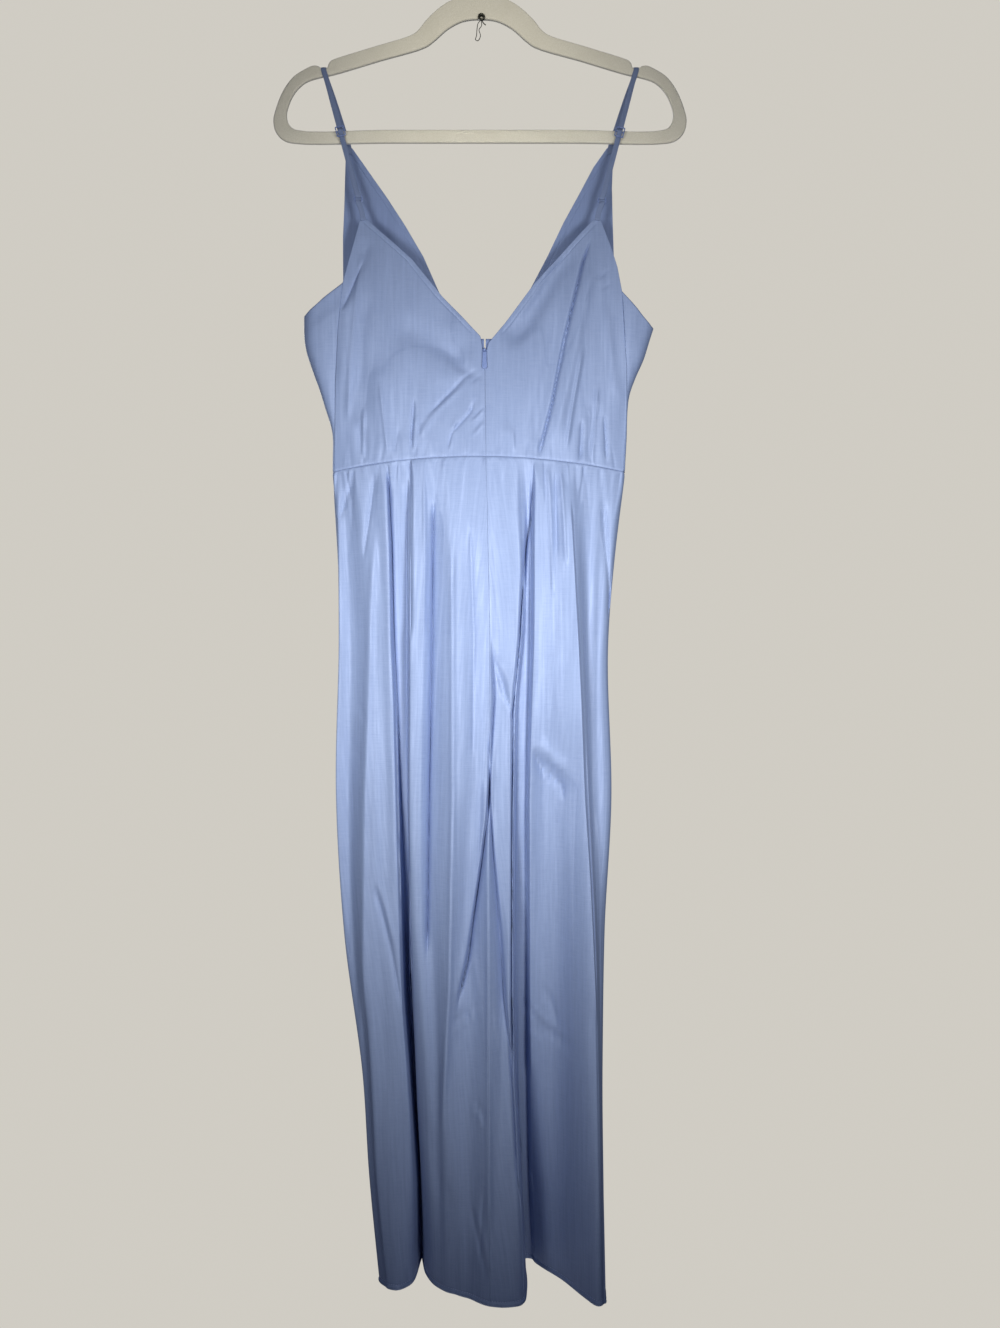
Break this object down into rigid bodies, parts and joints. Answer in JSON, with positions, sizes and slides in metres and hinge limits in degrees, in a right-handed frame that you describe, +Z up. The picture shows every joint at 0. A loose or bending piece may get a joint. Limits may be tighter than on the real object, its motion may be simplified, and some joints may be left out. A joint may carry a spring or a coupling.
{
  "type": "maxi dress on a clothes hanger",
  "caption": "Satin maxi dress with thin adjustable straps, deep V back with centre zip, waist seam and softly pleated skirt, hung by its straps on a slim notched hanger",
  "frame": {"origin": "Underside of the hook's crown, where a rail bears on it", "axes": "+Z up, -Y out of the dress's zipped back, +Y out of its front, +X to the right as the back is seen"},
  "size_m": [0.445, 0.135, 1.4486],
  "materials": {
    "satin": "periwinkle blue satin with a fine crosswise slub",
    "strap": "narrow folded satin strap",
    "tape": "woven zip tape, dull",
    "fitting": "smooth coating in the cloth's blue",
    "velvet": "ivory flocked velvet",
    "steel": "polished plated wire"
  },
  "bodies": {
    "dress": {"hanger_frame": "velvet", "hanger_hook": "steel", "hanger_collar": "steel", "bodice_back_left": "satin", "bodice_back_right": "satin", "bodice_front_left": "satin", "bodice_front_right": "satin", "skirt_back_left": "satin", "skirt_back_right": "satin", "skirt_front": "satin", "strap_left": "strap", "strap_right": "strap", "strap_tab_left": "strap", "strap_tab_right": "strap", "strap_slider_left": "fitting", "strap_slider_right": "fitting", "strap_ring_left": "fitting", "strap_ring_right": "fitting", "zip_tape": "tape", "zip_slider": "fitting"},
    "zip_pull": {"zip_pull": "fitting"}
  },
  "joints": [
    {"name": "zip_pull_swing", "type": "hinge", "parent": "dress", "child": "zip_pull", "pos_m": [0.0053, -0.02775, -0.471], "axis": [-1, 0, 0], "range_deg": [0, 160]}
  ]
}
